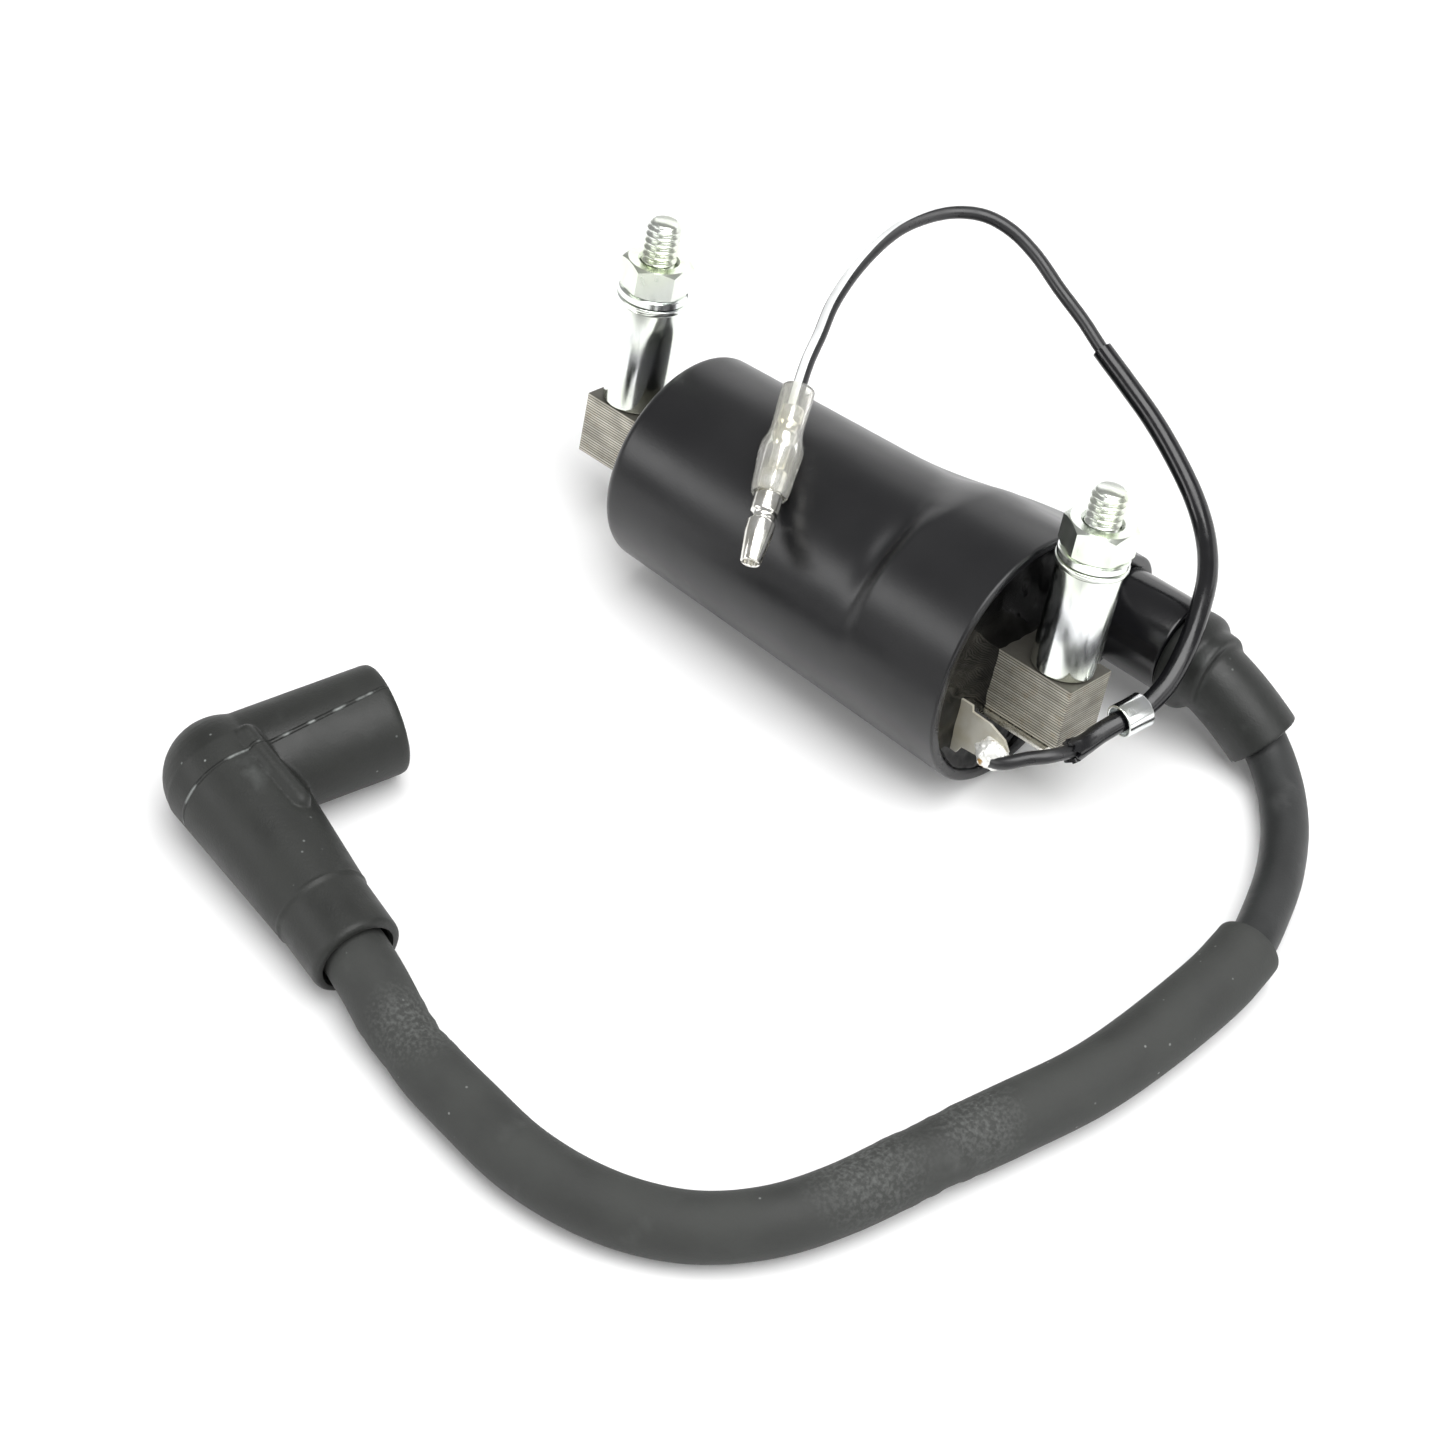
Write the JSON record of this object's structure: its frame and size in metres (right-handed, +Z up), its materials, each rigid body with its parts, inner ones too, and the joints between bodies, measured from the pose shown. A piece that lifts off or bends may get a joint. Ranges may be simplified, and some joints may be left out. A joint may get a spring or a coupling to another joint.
{
  "type": "ignition coil",
  "caption": "Moulded ignition coil on a laminated core with two studs, side tower, rubber-booted lead to an elbow plug cap, and a low-tension wire with a bullet connector.",
  "frame": {"origin": "middle of the footprint of the coil without its cords, at the level of the table it lies on", "axes": "+X along the core from the rear stud to the front stud, +Y towards the tower side, +Z up from the table"},
  "size_m": [0.1609, 0.1796, 0.0609],
  "materials": {
    "lamination_steel": "fine stamped edges",
    "zinc_plate": "bright zinc plating",
    "zinc_thread": "pale yellow zinc plating",
    "casing_plastic": "satin black moulding",
    "potting_resin": "glossy black resin",
    "nylon": "natural nylon",
    "copper": "enamelled copper wire",
    "brass_pin": "turned brass",
    "tin": "dull tin plating",
    "solder": "bright solder with flux",
    "boot_rubber": "matte charcoal rubber",
    "lead_rubber": "smooth charcoal rubber",
    "sleeve_rubber": "very matte charcoal rubber",
    "wire_insulation": "black with a wide white stripe",
    "sheath_vinyl": "glossy black vinyl",
    "clear_vinyl": "milky clear vinyl"
  },
  "bodies": {
    "coil": {"bullet_terminal": "tin", "casing": "casing_plastic", "core_insulator": "nylon", "core_lamination_01": "lamination_steel", "core_lamination_02": "lamination_steel", "core_lamination_03": "lamination_steel", "core_lamination_04": "lamination_steel", "core_lamination_05": "lamination_steel", "core_lamination_06": "lamination_steel", "core_lamination_07": "lamination_steel", "core_lamination_08": "lamination_steel", "core_lamination_09": "lamination_steel", "core_lamination_10": "lamination_steel", "core_lamination_11": "lamination_steel", "core_lamination_12": "lamination_steel", "core_lamination_13": "lamination_steel", "core_lamination_14": "lamination_steel", "core_lamination_15": "lamination_steel", "core_lamination_16": "lamination_steel", "core_lamination_17": "lamination_steel", "core_lamination_18": "lamination_steel", "core_lamination_19": "lamination_steel", "core_lamination_20": "lamination_steel", "core_lamination_21": "lamination_steel", "core_lamination_22": "lamination_steel", "core_lamination_23": "lamination_steel", "core_lamination_24": "lamination_steel", "front_spacer": "zinc_plate", "front_stud": "zinc_thread", "front_washer": "zinc_plate", "ground_tab": "tin", "ht_contact": "copper", "ht_lead": "lead_rubber", "ht_pin": "brass_pin", "lead_sleeve": "sleeve_rubber", "lt_sheath": "sheath_vinyl", "lt_tag": "tin", "lt_wire": "wire_insulation", "potting_resin": "potting_resin", "primary_bobbin": "nylon", "primary_winding": "copper", "rear_spacer": "zinc_plate", "rear_stud": "zinc_thread", "rear_washer": "zinc_plate", "secondary_bobbin": "nylon", "secondary_winding": "copper", "solder_joint": "solder", "tower_boot": "boot_rubber"},
    "rear_washer_body": {"rear_lock_washer": "zinc_plate"},
    "rear_nut_body": {"rear_nut": "zinc_thread"},
    "front_washer_body": {"front_lock_washer": "zinc_plate"},
    "front_nut_body": {"front_nut": "zinc_thread"},
    "vinyl_sleeve_body": {"connector_sleeve": "clear_vinyl"},
    "ring_body": {"clip_ring": "zinc_plate"},
    "cap_body": {"plug_cap": "boot_rubber", "plug_clip": "zinc_plate", "cap_screw": "zinc_plate"}
  },
  "joints": [
    {"name": "rear_nut_travel", "type": "slide", "parent": "coil", "child": "rear_washer_body", "axis": [-0.0318, 0.284, 0.9583], "range_m": [0, 0.00636]},
    {"name": "rear_nut_spin", "type": "hinge", "parent": "rear_washer_body", "child": "rear_nut_body", "pos_m": [-0.06084, 0.00143, 0.04852], "axis": [-0.0318, 0.284, 0.9583], "range_deg": [0, 1800]},
    {"name": "front_nut_travel", "type": "slide", "parent": "coil", "child": "front_washer_body", "axis": [-0.0318, 0.284, 0.9583], "range_m": [0, 0.00636]},
    {"name": "front_nut_spin", "type": "hinge", "parent": "front_washer_body", "child": "front_nut_body", "pos_m": [0.03721, 0.00143, 0.05178], "axis": [-0.0318, 0.284, 0.9583], "range_deg": [0, 1800]},
    {"name": "connector_sleeve_slide", "type": "slide", "parent": "coil", "child": "vinyl_sleeve_body", "axis": [-0.4411, 0.8411, 0.313], "range_m": [0, 0.006]},
    {"name": "ring_slide", "type": "slide", "parent": "coil", "child": "ring_body", "axis": [0.1926, 0.98, -0.0496], "range_m": [-0.002, 0.001]},
    {"name": "cap_swivel", "type": "hinge", "parent": "coil", "child": "cap_body", "pos_m": [-0.05664, -0.10759, 0.0108], "axis": [0.9728, -0.2219, -0.0658], "range_deg": [-180, 180]}
  ],
  "couplings": [
    {"joint": "rear_nut_travel", "follows": "rear_nut_spin", "m_per_rad": 0.00020213},
    {"joint": "front_nut_travel", "follows": "front_nut_spin", "m_per_rad": 0.00020213}
  ]
}
